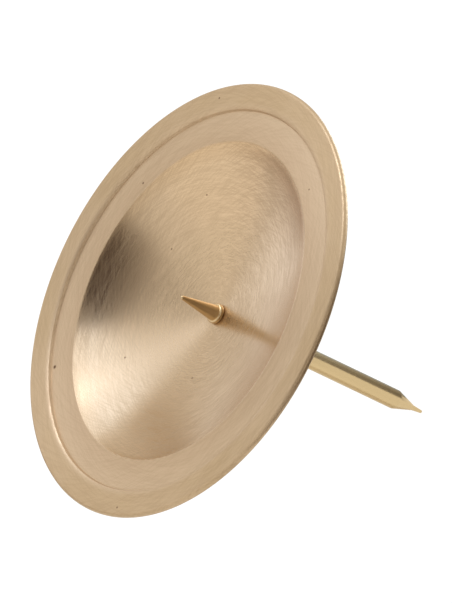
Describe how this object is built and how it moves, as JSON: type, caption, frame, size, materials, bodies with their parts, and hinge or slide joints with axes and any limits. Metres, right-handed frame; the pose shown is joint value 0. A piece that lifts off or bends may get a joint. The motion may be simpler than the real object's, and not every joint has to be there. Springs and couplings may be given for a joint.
{
  "type": "pricket candle pick",
  "caption": "Shallow round brass dish with a small cone on top to hold a candle and a long pointed spike below to push into a wreath or floral arrangement.",
  "frame": {"origin": "centre of the flat under the dish, where the spike seats: the top end of the spike's shaft", "axes": "+Z along the common axis of dish, pin and spike, up towards the candle; the spike points along -Z; X and Y are free, because every piece is turned about Z"},
  "size_m": [0.08, 0.08, 0.0573],
  "materials": {
    "satin_brass": "turned and brushed to a satin, fine circular marks and light cross scratches",
    "polished_brass": "turned and polished",
    "drawn_brass": "drawn rod, smooth, faint marks along its length, turned point"
  },
  "bodies": {
    "root": {"dish": "satin_brass", "candle_pin": "polished_brass", "wreath_spike": "drawn_brass"}
  },
  "joints": []
}
